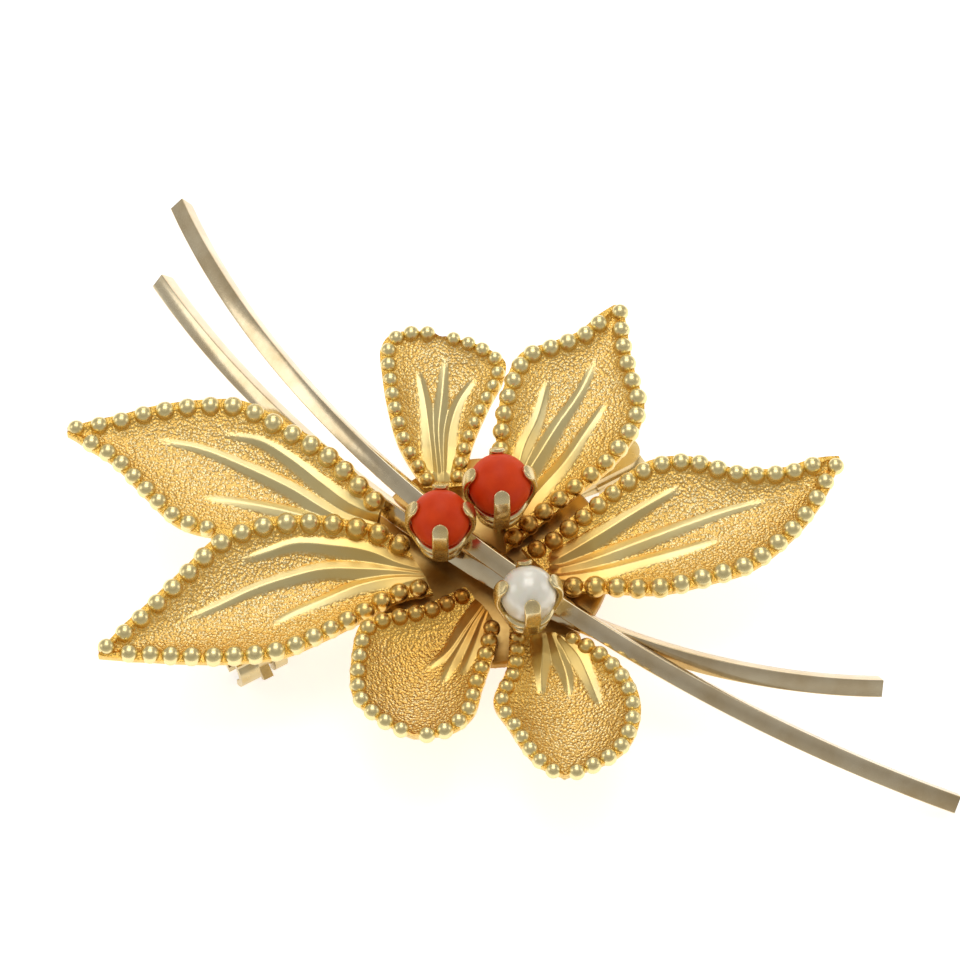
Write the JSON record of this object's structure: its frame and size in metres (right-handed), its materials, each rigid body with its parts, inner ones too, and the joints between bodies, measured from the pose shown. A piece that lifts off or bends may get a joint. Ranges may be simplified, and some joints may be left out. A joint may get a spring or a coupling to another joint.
{
  "type": "brooch",
  "caption": "Flower spray brooch: cupped leaves with grain rims, claw-set coral and pearl, square-wire stems, hinged pin and turning safety catch.",
  "frame": {"origin": "middle of the footprint, on the surface the brooch lies on face up", "axes": "+X along the longest way of the leaves, +Y up the face of the brooch, +Z out of the face"},
  "size_m": [0.0547, 0.0439, 0.0112],
  "materials": {
    "textured_gold": "sanded yellow gold with polished veins",
    "grain_gold": "polished yellow gold",
    "polished_gold": "polished yellow gold",
    "pin_gold": "hard drawn pale gold wire",
    "white_gold": "satin white gold",
    "coral": "polished opaque coral",
    "pearl": "soft pearl lustre"
  },
  "bodies": {
    "flower": {"petal_upper_left": "textured_gold", "petal_lower_left": "textured_gold", "petal_top": "textured_gold", "petal_upper_right": "textured_gold", "petal_right": "textured_gold", "petal_bottom_left": "textured_gold", "petal_bottom_right": "textured_gold", "grains_upper_left": "grain_gold", "grains_lower_left": "grain_gold", "grains_top": "grain_gold", "grains_upper_right": "grain_gold", "grains_right": "grain_gold", "grains_bottom_left": "grain_gold", "grains_bottom_right": "grain_gold", "stem_long": "white_gold", "stem_short": "white_gold", "centre_plate": "polished_gold", "back_bar": "polished_gold", "coral_setting_left": "polished_gold", "coral_setting_right": "polished_gold", "pearl_setting": "polished_gold", "hinge_base": "polished_gold", "hinge_rivet": "polished_gold", "catch_body": "polished_gold", "coral_left": "coral", "coral_right": "coral", "pearl": "pearl"},
    "pin": {"pin_stem": "pin_gold"},
    "safety": {"safety_sleeve": "polished_gold"}
  },
  "joints": [
    {"name": "pin_hinge", "type": "hinge", "parent": "flower", "child": "pin", "pos_m": [0.0067, 0.0032, 0.0013], "axis": [0.515, -0.8572, 0], "range_deg": [0, 110]},
    {"name": "safety_turn", "type": "hinge", "parent": "flower", "child": "safety", "pos_m": [-0.0155, -0.01014, 0.0013], "axis": [-0.8572, -0.515, 0], "range_deg": [0, 80]}
  ]
}
